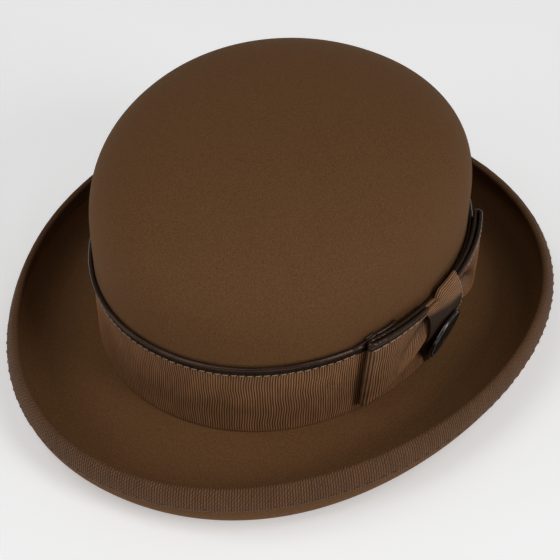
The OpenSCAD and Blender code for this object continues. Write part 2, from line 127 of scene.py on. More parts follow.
def series(values):
    m = len(values) - 1
    half = [0.5 if j in (0, m) else 1 for j in range(m + 1)]
    return [2 / m * half[k] * sum(half[j] * values[j] * math.cos(math.pi * j * k / m) for j in range(m + 1))
            for k in range(m + 1)]


def around(terms, angle):
    return sum(a * np.cos(k * angle) for k, a in enumerate(terms))


ARC_S, SLOPE_S, ROLL_S, FLAT_S = (series(v) for v in (BRIM_ARC, BRIM_SLOPE, BRIM_ROLL, BRIM_FLAT))
FINE = 160


def brim(t, inward, depth):
    """Point a distance in from the brim's edge and through the felt; t is one station per row."""
    nx, ny = outward(t)
    angle = np.arccos(np.clip(-ny, -1, 1))
    arc, slope, roll, flat = (around(v, angle)[:, None] for v in (ARC_S, SLOPE_S, ROLL_S, FLAT_S))
    share = np.linspace(0, 1, FINE + 1)[None]
    tilt = np.radians(slope + (roll - slope) * np.maximum(0, (share - flat) / (1 - flat)) ** ROLL_POWER)
    mid = (tilt[:, 1:] + tilt[:, :-1]) / 2
    zero = np.zeros((len(t), 1))
    out = np.hstack([zero, np.cumsum(np.cos(mid), 1) * arc / FINE])
    up = np.hstack([zero, np.cumsum(np.sin(mid), 1) * arc / FINE]) - ROOT_DROP + rise(t)[:, None]
    want = (1 - inward / arc) * FINE
    at = np.clip(want, 0, FINE)
    i = np.minimum(at.astype(int), FINE - 1)
    f = at - i
    o, u, a = (np.take_along_axis(v, i, 1) * (1 - f) + np.take_along_axis(v, i + 1, 1) * f
               for v in (out, up, tilt))
    past = np.maximum(0, -inward)
    o = o + past * np.cos(a) + depth * np.sin(a)
    u = u + past * np.sin(a) - depth * np.cos(a)
    return place(t[:, None], o, u)


def brim_arc(t):
    return around(ARC_S, np.arccos(np.clip(-outward(t)[1], -1, 1)))


def run_along(path):
    """Distance along a path at each of its points."""
    return np.concatenate([[0], np.cumsum(np.linalg.norm(np.diff(path, axis=0), axis=1))])


def even(curve, count=4001):
    """Length round a closed curve of stations, and the station at a distance along it."""
    t = np.linspace(0, TAU, count)
    run = run_along(curve(t))
    return run[-1], lambda s: np.interp(np.mod(s, run[-1]), run, t) + TAU * np.floor(s / run[-1])


BAND_LONG, band_t = even(lambda t: place(t, 0, 0))
EDGE_LONG, edge_t = even(lambda t: brim(t, np.zeros((len(t), 1)), 0)[:, 0])


def bow_t(y):
    along = y - BOW_AHEAD
    x = BAND_W * (1 - (np.abs(along) / BAND_L) ** OVAL_N) ** (1 / OVAL_N)
    return np.arctan2(along / BAND_L, x / BAND_W)


def bow(y, up, off):
    """Point on the bow: distance behind its middle, height and offset from the felt."""
    return crown(bow_t(y), off, up)


# ---------------------------------------------------------------- meshes
def smooth(a, b, x):
    s = np.clip((x - a) / (b - a), 0, 1)
    return s * s * (3 - 2 * s)


def ripple(x, *waves):
    return sum(a * np.sin(k * x + p) for a, k, p in waves)


class Piece:
    """A mesh in the making, in mm: grids, tubes and stitches that become one object."""

    def __init__(self):
        # ribs holds each point's tone for the colour, with its painted shade and painted highlight
        self.points, self.faces, self.uvs, self.ribs, self.count = [], [], [], [], 0

    def grid(self, p, uv=None, rib_and_painted_shade=None, wrap=(False, False), caps=False, poles=(None, None)):
        nu, nv = p.shape[:2]
        across, down = (np.arange(n if closed else n - 1) for n, closed in zip((nu, nv), wrap))
        a, b = np.meshgrid(across, down, indexing="ij")
        c, d = (a + 1) % nu, (b + 1) % nv
        quads = np.stack([a * nv + b, c * nv + b, c * nv + d, a * nv + d], -1).reshape(-1, 4)
        faces = quads.tolist()
        if caps:
            for first, flip in ((0, False), ((nu - 1) * nv, True)):
                for i in range(nv // 2 - 1):
                    face = [first + k for k in (i, i + 1, nv - 2 - i, nv - 1 - i)]
                    faces.append(face[::-1] if flip else face)
        points = p.reshape(-1, 3)
        uv = np.zeros((nu, nv, 2)) if uv is None else np.stack(np.broadcast_arrays(*uv), -1)
        uv = uv.reshape(-1, 2)
        rib_and_painted_shade = np.zeros(nu * nv) if rib_and_painted_shade is None else np.broadcast_to(rib_and_painted_shade, (nu, nv)).ravel()
        for column, pole in zip((0, nv - 1), poles):
            if pole is None:
                continue
            top = len(points)
            points, uv, rib_and_painted_shade = np.vstack([points, [pole]]), np.vstack([uv, uv[column]]), np.append(rib_and_painted_shade, 0)
            for i in range(nu):
                j = (i + 1) % nu
                face = [i * nv + column, top, j * nv + column]
                faces.append(face if column == 0 else face[::-1])
        if self._volume(points, faces) < 0:
            faces = [f[::-1] for f in faces]
        self.faces += [[k + self.count for k in f] for f in faces]
        self.points.append(points)
        self.uvs.append(uv)
        self.ribs.append(rib_and_painted_shade)
        self.count += len(points)
        return self

    @staticmethod
    def _volume(points, faces):
        fours = np.array([f for f in faces if len(f) == 4])
        threes = [f for f in faces if len(f) == 3]
        tris = np.vstack([fours[:, [0, 1, 2]], fours[:, [0, 2, 3]]] + ([np.array(threes)] if threes else []))
        q = points - points.mean(0)
        return np.einsum("ij,ij->", q[tris[:, 0]], np.cross(q[tris[:, 1]], q[tris[:, 2]]))

    def join(self, other):
        self.faces += [[k + self.count for k in f] for f in other.faces]
        self.points += other.points
        self.uvs += other.uvs
        self.ribs += other.ribs
        self.count += other.count

    def tube(self, path, radius, sides=8):
        """Round bar along a path of points; its ends are closed."""
        path = np.asarray(path, float)
        ahead = np.gradient(path, axis=0)
        ahead /= np.linalg.norm(ahead, axis=1)[:, None]
        side = np.cross(ahead, [0, 0, 1.0])
        flat = np.linalg.norm(side, axis=1) < 1e-6
        side[flat] = [1, 0, 0]
        side /= np.linalg.norm(side, axis=1)[:, None]
        over = np.cross(side, ahead)
        a = np.arange(sides) / sides * TAU
        radius = np.broadcast_to(radius, len(path))
        ring = side[:, None] * np.cos(a)[None, :, None] + over[:, None] * np.sin(a)[None, :, None]
        return self.grid(path[:, None] + ring * radius[:, None, None], (run_along(path)[:, None], a[None]),
                         wrap=(False, True), caps=True)

    def stitch(self, a, b, out, radius=0.26, lift=0.22):
        """One visible stitch from a to b that dips into the cloth at both ends."""
        a, b, out = (np.asarray(v, float) for v in (a, b, out))
        s = np.linspace(0, 1, 7)
        arch = np.sin(math.pi * s) ** 0.6
        path = a + (b - a) * s[:, None] + out * ((arch - 0.45) * lift)[:, None]
        return self.tube(path, radius * (0.62 + 0.38 * arch), 6)

    def make(self, name, look, slot, *nodes, body="hat"):
        mesh = bpy.data.meshes.new(name)
        points = np.vstack(self.points) * MM
        mesh.from_pydata(points.tolist(), [], self.faces)
        loops = np.zeros(len(mesh.loops), int)
        mesh.loops.foreach_get("vertex_index", loops)
        uv = np.vstack(self.uvs) * MM
        mesh.uv_layers.new(name="UVMap").data.foreach_set("uv", uv[loops].astype(np.float32).ravel())
        mesh.attributes.new("rib_and_painted_shade", "FLOAT", "POINT").data.foreach_set(
            "value", np.concatenate(self.ribs).astype(np.float32))
        mesh.polygons.foreach_set("use_smooth", [True] * len(mesh.polygons))
        mesh.materials.append(look)
        mesh.validate()
        obj = bpy.data.objects.new(name, mesh)
        bpy.context.scene.collection.objects.link(obj)
        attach(obj, body)
        if nodes:
            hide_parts(*nodes)
        return obj


def ribbon(piece, put, span, rows, thick, pitch=RIB, depth=0.19, per=6, wrap=False, back=None,
           painted_light=None, fold=False):
    """Grosgrain ribbon: ribs across its width, smoother selvedges. put(u, w, e) places it. The ribs' tone
    paints shade, low in the rib valleys and high on the rib tops, times the caller's painted shade and
    highlight; with fold, the far edge is a soft fold and not a selvedge."""
    count = max(1, round((span[1] - span[0]) / pitch))
    k = np.arange(count * per + (0 if wrap else 1))
    u = (span[0] + (span[1] - span[0]) * k / (count * per))[:, None]
    rib_and_painted_shade = (0.5 - 0.5 * np.cos(TAU * k / per))[:, None]
    rows = np.asarray(rows, float)
    back = rows if back is None else np.asarray(back, float)
    w = np.concatenate([rows, back[::-1]])[None]
    front = np.concatenate([np.ones(len(rows)), np.zeros(len(back))])[None]
    inside = 1.0 if fold else np.clip(np.minimum(w - w.min(), w.max() - w) / 0.9, 0, 1)
    strength = rib_and_painted_shade * (0.3 + 0.7 * inside)
    e = np.where(front > 0, thick / 2 + depth * strength, -thick / 2)
    u, w, e = np.broadcast_arrays(u, w, e)
    # Painted shade: the tone is low in the rib valleys and high on the rib tops, then takes the caller's
    # painted shade and highlight
    tone = np.where(front > 0, rib_and_painted_shade * (1.3 - 0.3 * inside), 0.5)
    tone = tone if painted_light is None else tone * painted_light(u, w)
    piece.grid(put(u, w, e), (u, w), tone, wrap=(wrap, True), caps=not wrap)
    return piece


# ---------------------------------------------------------------- materials
class Look:
    """A material: the Principled shader and the procedural nodes that feed it."""

    def __init__(self, name, roughness, **inputs):
        self.material = bpy.data.materials.new(name)
        self.material.use_nodes = True
        self.tree = self.material.node_tree
        self.shader = self.tree.nodes["Principled BSDF"]
        self.shader.inputs["Roughness"].default_value = roughness
        for key, value in inputs.items():
            self.shader.inputs[key.replace("_", " ")].default_value = value
        self.last_bump = None

    def node(self, kind, inputs=None, **settings):
        n = self.tree.nodes.new(kind)
        for key, value in settings.items():
            setattr(n, key, value)
        for key, value in (inputs or {}).items():
            if isinstance(value, bpy.types.NodeSocket):
                self.tree.links.new(value, n.inputs[key])
            else:
                n.inputs[key].default_value = value
        return n

    def coords(self, scale=(1, 1, 1), kind="Object"):
        source = self.node("ShaderNodeTexCoord").outputs[kind]
        return self.node("ShaderNodeMapping", {"Vector": source, "Scale": scale}).outputs[0]

    def noise(self, scale, detail=2.0, rough=0.5, where=None, distortion=0.0):
        vector = self.coords() if where is None else where
        return self.node("ShaderNodeTexNoise", {"Vector": vector, "Scale": scale, "Detail": detail,
                         "Roughness": rough, "Distortion": distortion}).outputs[0]

    def ramp(self, value, low, high):
        """Value between low and high stretched to 0 to 1."""
        return self.node("ShaderNodeMapRange", {"Value": value, "From Min": low, "From Max": high}).outputs[0]

    def math(self, operation, a, b=0.0):
        return self.node("ShaderNodeMath", {0: a, 1: b}, operation=operation).outputs[0]

    def mix(self, factor, a, b):
        inputs = {0: factor, 6: a if isinstance(a, bpy.types.NodeSocket) else (*a, 1),
                  7: b if isinstance(b, bpy.types.NodeSocket) else (*b, 1)}
        return self.node("ShaderNodeMix", inputs, data_type="RGBA").outputs[2]

    # Each point's tone: painted shade in the rib valleys and the bow's painted shade and highlight
    def rib_and_painted_shade(self):
        return self.node("ShaderNodeAttribute", attribute_name="rib_and_painted_shade").outputs["Fac"]

    def color(self, socket):
        self.tree.links.new(socket, self.shader.inputs["Base Color"])
        return self

    def rough(self, socket, low, high):
        value = self.node("ShaderNodeMapRange", {"Value": socket, "To Min": low, "To Max": high}).outputs[0]
        self.tree.links.new(value, self.shader.inputs["Roughness"])
        return self

    def bump(self, height, strength, distance):
        inputs = {"Height": height, "Strength": strength, "Distance": distance}
        if self.last_bump is not None:
            inputs["Normal"] = self.last_bump
        self.last_bump = self.node("ShaderNodeBump", inputs).outputs[0]
        self.tree.links.new(self.last_bump, self.shader.inputs["Normal"])
        return self


def felt_look():
    k = Look("felt", 0.95, Sheen_Weight=0.1, Sheen_Roughness=0.4, Sheen_Tint=(0.62, 0.44, 0.28, 1),
             Specular_IOR_Level=0.12)
    cloud = k.noise(55, 3)
    nap = k.noise(1500, 3, 0.6)
    fur = k.noise(3600, 2, 0.6)
    base = k.mix(k.ramp(cloud, 0.3, 0.7), (0.090, 0.0390, 0.0136), (0.097, 0.0425, 0.0152))
    base = k.mix(k.ramp(nap, 0.26, 0.74), base, (0.168, 0.080, 0.0315))
    base = k.mix(k.ramp(fur, 0.62, 0.85), base, (0.21, 0.118, 0.055))
    k.color(base)
    k.rough(nap, 0.85, 1.0)
    k.bump(nap, 0.28, 0.0005)
    k.bump(fur, 0.30, 0.0002)
    return k.material


def grosgrain_look(name, dark, light, shine=0.5, twill=0.0):
    k = Look(name, shine, Sheen_Weight=0.05, Sheen_Roughness=0.35, Sheen_Tint=(0.7, 0.5, 0.34, 1),
             Specular_IOR_Level=0.16)
    uv = k.coords(kind="UV")
    fine = k.noise(1.0, 2, 0.5, k.coords((900, 5200, 1), "UV"))
    slub = k.noise(1.0, 2, 0.5, k.coords((900, 90, 1), "UV"))
    patch = k.noise(60, 2)
    # Painted shade and highlight: the per-point tone darkens rib valleys, the knot's lower half, the tail
    # under the loops and the loops' crease, and lightens the loops' fold
    tone = k.math("MULTIPLY", k.rib_and_painted_shade(), k.math("ADD", k.math("MULTIPLY", k.ramp(slub, 0.3, 0.7), 0.4), 0.75))
    if twill:
        streak = k.node("ShaderNodeTexWave", {"Vector": uv, "Scale": 330.0, "Distortion": 4.0, "Detail": 2.0},
                        bands_direction="DIAGONAL").outputs["Fac"]
        tone = k.math("MULTIPLY", tone, k.math("ADD", k.math("MULTIPLY", streak, twill), 1 - twill / 2))
    base = k.mix(tone, dark, light)
    glint = k.math("MULTIPLY", k.math("MULTIPLY", k.ramp(fine, 0.35, 0.75), 0.5), tone)
    base = k.mix(glint, base, tuple(1.5 * c for c in light))
    base = k.mix(k.math("MULTIPLY", k.ramp(patch, 0.35, 0.7), 0.2), base, dark)
    k.color(base)
    k.rough(fine, shine - 0.07, shine + 0.12)
    thread = k.node("ShaderNodeTexWave", {"Vector": uv, "Scale": 900.0, "Distortion": 1.5, "Detail": 1.0},
                    bands_direction="Y").outputs["Fac"]
    k.bump(thread, 0.35, 0.00008)
    k.bump(fine, 0.35, 0.0001)
    return k.material


def leather_look(name, dark, light, rough, grain, bump=0.22, **inputs):
    k = Look(name, rough, **inputs)
    cells = k.node("ShaderNodeTexVoronoi", {"Vector": k.coords(), "Scale": grain},
                   feature="DISTANCE_TO_EDGE").outputs[0]
    cloud = k.noise(90, 3)
    crease = k.noise(420, 3, 0.6, distortion=0.6)
    base = k.mix(k.ramp(cloud, 0.35, 0.68), dark, light)
    base = k.mix(k.math("MULTIPLY", k.ramp(cells, 0.12, 0.0), 0.5), base, tuple(0.5 * c for c in dark))
    k.color(base)
    k.rough(crease, max(0.05, rough - 0.08), rough + 0.12)
    k.bump(k.ramp(cells, 0.0, 0.2), bump, 0.0001)
    k.bump(crease, bump, 0.0002)
    return k.material


def thread_look(name, dark, light):
    k = Look(name, 0.65, Sheen_Weight=0.2, Sheen_Roughness=0.4)
    inputs = {"Vector": k.coords((1, 0.0007, 1), "UV"), "Scale": 500.0, "Distortion": 1.0}
    ply = k.node("ShaderNodeTexWave", inputs, bands_direction="DIAGONAL").outputs["Fac"]
    fuzz = k.noise(2500, 2)
    k.color(k.mix(k.math("MULTIPLY", k.math("ADD", ply, fuzz), 0.5), dark, light))
    k.bump(ply, 0.5, 0.0001)
    return k.material


def satin_look():
    k = Look("lining_satin", 0.36, Sheen_Weight=0.25, Sheen_Roughness=0.3, Sheen_Tint=(1, 0.8, 0.5, 1),
             Anisotropic=0.4)
    weft = k.noise(1.0, 2, 0.5, k.coords((900, 6500, 900), "Object"))
    cloud = k.noise(70, 3)
    k.color(k.mix(k.ramp(cloud, 0.3, 0.7), (0.235, 0.125, 0.05), (0.34, 0.19, 0.08)))
    k.rough(weft, 0.3, 0.46)
    k.bump(weft, 0.3, 0.0001)
    return k.material


def metal_look(name, color, rough, scratch=0.12, **inputs):
    k = Look(name, rough, Metallic=1.0, **inputs)
    smear = k.noise(300, 3)
    k.color(k.mix(k.ramp(smear, 0.3, 0.7), tuple(0.8 * c for c in color), color))
    k.rough(smear, rough, rough + scratch)
    k.bump(k.noise(1500, 2), 0.08, 0.0001)
    return k.material


FELT = felt_look()
# The grosgrain colours run from dark, painted shade in the rib valleys and under the bow, to light on the rib
# tops
RIBBON = grosgrain_look("band_grosgrain", (0.016, 0.0078, 0.0040), (0.40, 0.195, 0.088))
BINDING = grosgrain_look("binding_grosgrain", (0.034, 0.0155, 0.007), (0.172, 0.082, 0.0355), 0.65, 0.8)
PIPING = leather_look("piping_leather", (0.022, 0.0120, 0.0078), (0.036, 0.0205, 0.0135), 0.2, 1500, 0.04,
                      Specular_Tint=(0.8, 0.58, 0.46, 1))
SWEAT = leather_look("sweatband_leather", (0.085, 0.040, 0.018), (0.135, 0.068, 0.032), 0.42, 900)
THREAD = thread_look("beige_thread", (0.24, 0.175, 0.11), (0.52, 0.41, 0.285))
DARK_THREAD = thread_look("brown_thread", (0.05, 0.027, 0.015), (0.12, 0.07, 0.04))
COTTON = thread_look("cotton_cord", (0.42, 0.37, 0.28), (0.68, 0.63, 0.52))
SATIN = satin_look()
NICKEL = metal_look("nickel", (0.46, 0.43, 0.38), 0.28)
RIM = metal_look("badge_rim_metal", (0.11, 0.102, 0.092), 0.16)


def enamel_look():
    k = Look("badge_enamel", 0.35, Specular_IOR_Level=0.04)
    k.color(k.mix(k.ramp(k.noise(400, 2), 0.3, 0.7), (0.006, 0.005, 0.0045), (0.016, 0.0135, 0.012)))
    k.rough(k.noise(900, 3), 0.3, 0.42)
    k.bump(k.noise(220, 2), 0.05, 0.0003)
    return k.material


def tape_look(name, dark, light):
    k = Look(name, 0.75, Sheen_Weight=0.2)
    weave = k.node("ShaderNodeTexChecker", {"Vector": k.coords(), "Scale": 1400.0}).outputs["Fac"]
    tone = k.math("ADD", k.math("MULTIPLY", weave, 0.5), k.math("MULTIPLY", k.noise(1800, 2), 0.5))
    k.color(k.mix(tone, dark, light))
    k.bump(weave, 0.3, 0.0001)
    return k.material


def film_look():
    k = Look("clear_film", 0.08, Alpha=0.16, Specular_IOR_Level=0.6)
    k.color(k.mix(k.noise(40, 2), (0.80, 0.84, 0.86), (0.92, 0.95, 0.97)))
    k.bump(k.noise(35, 2), 0.25, 0.002)
    return k.material


ENAMEL = enamel_look()
REED = tape_look("reed_tape", (0.02, 0.014, 0.01), (0.06, 0.042, 0.03))
TAB = tape_look("woven_tab", (0.50, 0.45, 0.35), (0.70, 0.65, 0.54))
FILM = film_look()

# ---------------------------------------------------------------- camera
AZIMUTH, ELEVATION, ROLL = math.radians(30.803), math.radians(41.104), math.radians(-0.131)
AIM, CAMERA_FAR, LENS = Vector((7.27, -8.61, 37.61)) * MM, 0.800166, 102.39


def direction(azimuth, elevation):
    """Unit vector from the hat towards an azimuth, 0 at the front, and an elevation."""
    return Vector((math.sin(azimuth) * math.cos(elevation), -math.cos(azimuth) * math.cos(elevation),
                   math.sin(elevation)))


back = direction(AZIMUTH, ELEVATION)
right = Vector((0, 0, 1)).cross(back).normalized()
over = back.cross(right)
right, over = right * math.cos(ROLL) + over * math.sin(ROLL), over * math.cos(ROLL) - right * math.sin(ROLL)
camera_data = bpy.data.cameras.new("camera")
camera_data.lens, camera_data.sensor_width = LENS, 36
camera_data.clip_start, camera_data.clip_end = 0.05, 50
camera = bpy.data.objects.new("camera", camera_data)
spin = Matrix((right, over, back)).transposed().to_4x4()
camera.matrix_world = Matrix.Translation(AIM + back * CAMERA_FAR) @ spin
bpy.context.scene.collection.objects.link(camera)
bpy.context.scene.camera = camera

# ---------------------------------------------------------------- felt
NT = 320
t = np.arange(NT) / NT * TAU
column = t[:, None]


def domes(angles, inset):
    return [dome(t, a, inset) for a in angles]


def apex(inset):
    return [0, CENTRE_Y, CROWN_H - inset + BREAK_Z]


profile = domes(np.radians(np.linspace(88.6, 0, 60)), 0)
profile += [wall(t, u, 0) for u in (58, 52, 46, 40, 34, 28, 20, 12, 5, 1, -0.05)]
profile += [place(t, -0.55, -0.85 + rise(t))]
arc = brim_arc(t)[:, None]
shares = np.concatenate([np.linspace(0, 0.4, 12), np.linspace(0.43, 1, 44)])
top_side = brim(t, arc * (1 - shares[None]), 0)
profile += [top_side[:, k] for k in range(len(shares))]
turn = np.linspace(0, math.pi, 7)[None, 1:-1]
profile += list(np.moveaxis(brim(t, -FELT_T / 2 * np.sin(turn), FELT_T / 2 * (1 - np.cos(turn))), 1, 0))
low_side = brim(t, arc * (1 - shares[None, ::-1]), FELT_T)
profile += [low_side[:, k] for k in range(len(shares))]
profile += [wall(t, u, FELT_T) for u in (-0.6, 2, 10, 20, 30, 40, 50)]
profile += domes(np.radians(np.linspace(0, 88.6, 26)), FELT_T)
body = np.stack(profile, 1)
run = run_along(body[0])
felt = Piece().grid(body, (column * 90, run[None]), wrap=(True, False), poles=(apex(0), apex(FELT_T)))
felt.make("felt_hood", FELT, "felt", "felt_body")


# ---------------------------------------------------------------- edge binding
TURN_R = FELT_T / 2 + GAP + BINDING_T / 2
TURN = math.pi * TURN_R


def on_binding(u, w, e):
    t = edge_t(u[:, 0])
    near, far = w <= BINDING_W, w >= BINDING_W + TURN
    phi = (w - BINDING_W) / TURN * math.pi
    x = u * TAU / EDGE_LONG
    pucker = ripple(x, (0.05, 61, 0.3), (0.05, 97, 1.7), (0.04, 143, 0.9))
    edge = np.clip(1 - np.minimum(w, 2 * BINDING_W + TURN - w) / 5, 0, 1)
    e = e + 0.02 + np.where(e > 0, pucker * (0.3 + edge), 0)
    reach = TURN_R + e
    inward = np.where(near, BINDING_W - w, np.where(far, w - BINDING_W - TURN, -reach * np.sin(phi)))
    gap = GAP + BINDING_T / 2 + e
    depth = np.where(near, -gap, np.where(far, FELT_T + gap, FELT_T / 2 - reach * np.cos(phi)))
    return brim(t, inward + 0.12 * ripple(x, (1, 71, 0.2), (0.8, 113, 1.1)) * edge, depth)


rows = np.concatenate([[0, 0.5, 1.4], np.linspace(2.6, BINDING_W, 5),
                       BINDING_W + TURN * np.linspace(0.2, 0.8, 4),
                       np.linspace(BINDING_W + TURN, 2 * BINDING_W + TURN - 2.4, 6),
                       2 * BINDING_W + TURN - np.array([1.4, 0.5, 0])])
back_rows = np.concatenate([[0, BINDING_W / 2, BINDING_W], BINDING_W + TURN * np.array([0.33, 0.67, 1]),
                            [1.5 * BINDING_W + TURN, 2 * BINDING_W + TURN]])
binding = ribbon(Piece(), on_binding, (0, EDGE_LONG), rows, BINDING_T, BINDING_RIB, 0.13, 4, True, back_rows)
binding = binding.make("edge_binding", BINDING, "binding", "brim_binding")

stitches = Piece()
count = round(EDGE_LONG / BINDING_PITCH)
for k in range(count):
    s = (k + rng.uniform(-0.08, 0.08)) * EDGE_LONG / count
    inward = np.full((3, 1), BINDING_W - 0.9 + rng.uniform(-0.12, 0.12))
    ends = brim(edge_t(np.array([s - 1.15, s + 1.15, s])), inward, FELT_T + GAP + BINDING_T + 0.2)[:, 0]
    deep = brim(edge_t(np.array([s])), np.array([[BINDING_W - 0.9]]), FELT_T)[0, 0]
    out = ends[2] - deep
    stitches.stitch(ends[0], ends[1], out / np.linalg.norm(out), 0.2, 0.2)
stitches.make("binding_thread", DARK_THREAD, "binding_thread", "binding_stitches")


# ---------------------------------------------------------------- band
def moire(s, up):
    """Slow sideways wander of the ribs, which real ribbon shows."""
    return (0.3 * np.sin(up * 0.26 + 0.045 * s) + 0.15 * np.sin(up * 0.47 - 0.11 * s + 1.3)
            + 0.06 * np.sin(up * 0.85 + 0.31 * s))


def on_band(u, w, e):
    t = band_t(u + moire(u, w))
    return crown(t, GAP + RIBBON_T / 2 + e * 0.93, w)


rows = np.concatenate([[0, 0.4, 0.9, 1.6], np.linspace(3, 37, 17), [38.6, 39.5, 40]])
band = ribbon(Piece(), on_band, (0, BAND_LONG), rows, RIBBON_T - 0.12, wrap=True, back=[0, 20, 40])
band = band.make("band_ribbon", RIBBON, "ribbon", "hat_band")

ROLL_OFF, ROLL_UP = GAP + PIPING_R, BAND_H + PIPING_R + GAP
STRIP_IN = 2 * GAP + RIBBON_T
STRIP_OUT = STRIP_IN + 0.55


def piping_section(fat=1.0):
    """Half-round roll over the cord, with its two leaves stitched down as a flat strip."""
    a = np.radians(np.linspace(-62, 235, 22))
    roll = np.stack([ROLL_OFF + PIPING_R * fat * np.cos(a), ROLL_UP + PIPING_R * fat * np.sin(a)], -1)
    strip = np.array([[STRIP_IN, STRIP_FOOT + 0.1], [STRIP_IN + 0.3, STRIP_FOOT - 0.02],
                      [STRIP_OUT - 0.05, STRIP_FOOT + 0.05], [STRIP_OUT + 0.04, STRIP_FOOT + 0.45],
                      [STRIP_OUT + 0.02, 38.2], [STRIP_OUT + 0.03, 39.2],
                      [STRIP_OUT + 0.1, 39.85]])
    inner = np.array([[GAP + 0.05, BAND_H + 0.25], [STRIP_IN, BAND_H + 0.1]])
    return np.vstack([strip, roll, inner])


section = piping_section()
n = 900
s = np.arange(n) / n * BAND_LONG
tt = band_t(s)[:, None]
x = s[:, None] * TAU / BAND_LONG
ease = np.clip((section[None, :, 1] - STRIP_FOOT) / 3.5, 0, 1)
wrinkle = ripple(x, (0.030, 37, 0.1), (0.026, 83, 1.9), (0.020, 149, 0.7), (0.014, 311, 2.2)) * ease
wave = ripple(x, (0.05, 19, 0.5), (0.06, 47, 1.2), (0.04, 101, 0.3))
piping = Piece().grid(crown(tt, section[None, :, 0] + wrinkle, section[None, :, 1] + wave * (1 - ease)),
                      (s[:, None], section[None, :, 1]), wrap=(True, True))
piping.make("band_piping_leather", PIPING, "piping", "band_piping")

a = np.arange(12) / 12 * TAU
n = 1400
s = np.arange(n) / n * BAND_LONG
lay = s[:, None] * TAU * round(BAND_LONG / 2.6) / BAND_LONG
r = (CORD_R - GAP - 0.04) * (1 + 0.10 * np.cos(3 * a[None] - lay))
filler = Piece().grid(crown(band_t(s)[:, None], ROLL_OFF + r * np.cos(a), ROLL_UP + r * np.sin(a)),
                      (s[:, None], a[None]), wrap=(True, True))
filler.make("piping_filler_cord", COTTON, "cord", "piping_cord")

stitches = Piece()
count = round(BAND_LONG / STITCH_PITCH)
for k in range(count):
    s = k * BAND_LONG / count + rng.uniform(-0.15, 0.15)
    tm = float(band_t(np.array([s]))[0])
    px, py = oval(tm, BAND_L, BAND_W)
    if px > 0 and BOW_FRONT - 4.2 < py + BOW_AHEAD < BOW_REAR + 4.2:
        continue
    up = STRIP_FOOT + 0.62 + rng.uniform(-0.08, 0.08) + np.array([-0.1, 0.1])
    ends = crown(band_t(np.array([s - 1.42, s + 1.42])), STRIP_OUT + 0.1, up)
    nx, ny = outward(tm)
    stitches.stitch(ends[0], ends[1], (nx, ny, 0), 0.21, 0.2)
stitches.make("band_thread", THREAD, "thread", "band_stitches")


# ---------------------------------------------------------------- bow
def on_tail(u, w, e):
    off = BOW_IN + 0.28 + e * 0.9 + 0.12 * np.sin(u * 0.35) * (w < 12)
    return bow(u + moire(u * 1.3 + 9, w) * 0.9, w, off)


def loop_foot(s):
    s = np.clip(s, 0, 1)
    return np.minimum(33, 6 + 22 * s + 8.5 * s * s)


def tail_painted_shadow(u, w):
    """Painted shadow: the tail is darker where a loop lies over it."""
    reach = np.where(u < 0, BOW_FRONT, BOW_REAR)
    return 0.35 + 0.65 * smooth(0, -5, w - loop_foot(1 - u / reach))


rows = np.concatenate([[0.3, 0.7, 1.3], np.linspace(2.2, 34, 15), [35.6, 36.6]])
tail = ribbon(Piece(), on_tail, (BOW_FRONT + 0.6, BOW_REAR - 1), rows, 0.42, painted_light=tail_painted_shadow)
tail = tail.make("bow_tail_ribbon", RIBBON, "ribbon", "bow_tail")

CURL = 1.0
BACK_OFF = LOOP_IN + 0.75


def loop_crease(s):
    """Where the front layer's crease runs, from 0 at the top edge to 1 at the fold."""
    return 0.42 + 0.3 * (1 - smooth(0.3, 0.68, s))


def loop_front(s, low):
    """Offset of the front layer: s runs from the free end to the knot, low from the top edge to the fold."""
    base = LOOP_IN + 3.5 + (2.7 - 3.5) * s ** 1.6
    hollow = smooth(0.3, 0.66, s) * 2.5 * np.exp(-((low - loop_crease(s)) / 0.15) ** 2)
    ridge = smooth(0.1, 0.6, s) * 1.0 * np.exp(-((low - 0.95) / 0.2) ** 2)
    belly = 0.55 * np.sin(np.pi * np.clip(low, 0, 1)) * (1 - smooth(0.1, 0.6, s))
    return base - hollow + ridge + belly


def loop_place(end_y):
    way, reach = np.sign(end_y), abs(end_y)
    tip = reach - LOOP_NOSE
    long = tip - LOOP_START
    nose = math.pi * 1.55

    def put(u, w, e):
        """u runs from the knot along the front layer, round the nose and back; w is 0 at the
        top edge, 1 at the fold, and over 1 round the fold in radians."""
        low = np.clip(w, 0, 1)
        psi = np.maximum(0, w - 1)
        front, behind = u <= long, u >= long + nose
        phi = np.clip((u - long) / nose, 0, 1) * math.pi
        y0 = np.where(front, LOOP_START + u, np.where(behind, tip - (u - long - nose), tip))
        s0 = 1 - y0 / reach
        shear = 9.5 * smooth(0.12, 0.62, s0) * low ** 1.1 * front
        slant = 3.2 * low * (1 - smooth(0, 0.35, s0))
        y = np.minimum(y0 + shear, tip) + slant + 0.8 * moire(u + 31, w * 34) * smooth(0.02, 0.1, s0) * front
        s = np.clip(1 - y / reach, 0, 1)
        fore = loop_front(s, low)
        aft = np.minimum(BACK_OFF, fore - 0.9)
        half = (fore - aft) / 2
        o = e * np.cos(psi) - CURL * (1 - np.cos(psi))
        turned = (fore + aft) / 2 + (half + o) * np.cos(phi)
        off = np.where(front, fore + o, np.where(behind, aft - o * 0.6, turned))
        y = y + np.where(front | behind, 0, (np.minimum(LOOP_NOSE, half + 0.5) + o) * np.sin(phi))
        foot = loop_foot(s) + CURL
        up = foot + (LOOP_TOP + 0.35 - foot) * (1 - low) - (CURL + e) * np.sin(psi)
        return bow(way * y, up, off)

    return put, long, 2 * long + nose


